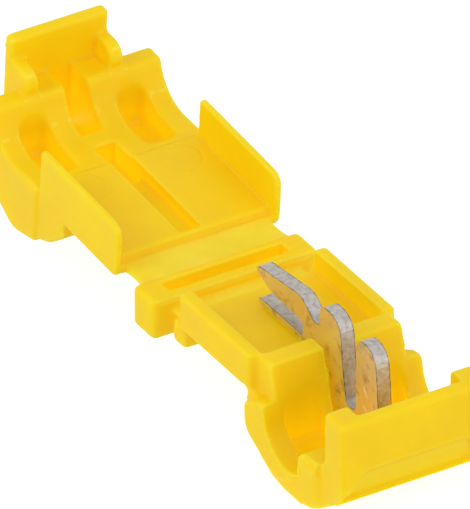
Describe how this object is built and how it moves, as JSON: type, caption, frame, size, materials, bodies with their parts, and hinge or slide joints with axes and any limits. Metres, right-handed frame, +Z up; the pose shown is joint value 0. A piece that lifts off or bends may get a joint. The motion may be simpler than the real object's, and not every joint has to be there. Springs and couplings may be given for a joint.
{
  "type": "hinged t-tap quick splice wire connector",
  "caption": "Opened hinged T-tap splice connector: nylon base and cover joined by a slotted link bar on moulded hinges, with a slotted tinned contact plate pressed in the base.",
  "frame": {"origin": "bottom centre of the open connector's bounding box, on the surface the base's rounded belly rests on", "axes": "+X along the open connector from the cover to the base's latch end, +Y across it along the tapped wire, +Z up out of the wire bed"},
  "size_m": [0.035, 0.0098, 0.0102],
  "materials": {
    "yellow_nylon": "satin",
    "web_nylon": "satin",
    "tin_plate": "satin"
  },
  "bodies": {
    "base": {"base_housing": "yellow_nylon", "tap_contact": "tin_plate"},
    "bar": {"link_bar": "yellow_nylon", "hinge_web_base": "web_nylon"},
    "cover": {"cover_housing": "yellow_nylon", "hinge_web_cover": "web_nylon"},
    "tab": {"snap_tab": "yellow_nylon"}
  },
  "joints": [
    {"name": "base_hinge", "type": "hinge", "parent": "base", "child": "bar", "pos_m": [0.00089, 0, 0.00382], "axis": [0, 1, 0], "range_deg": [0, 90]},
    {"name": "cover_hinge", "type": "hinge", "parent": "bar", "child": "cover", "pos_m": [-0.00219, 0, 0.0042], "axis": [0, 1, 0], "range_deg": [-4.5, 85.5]},
    {"name": "tab_flex", "type": "hinge", "parent": "cover", "child": "tab", "pos_m": [-0.01651, 0, 0.00762], "axis": [0, 1, 0], "range_deg": [0, 8]}
  ]
}
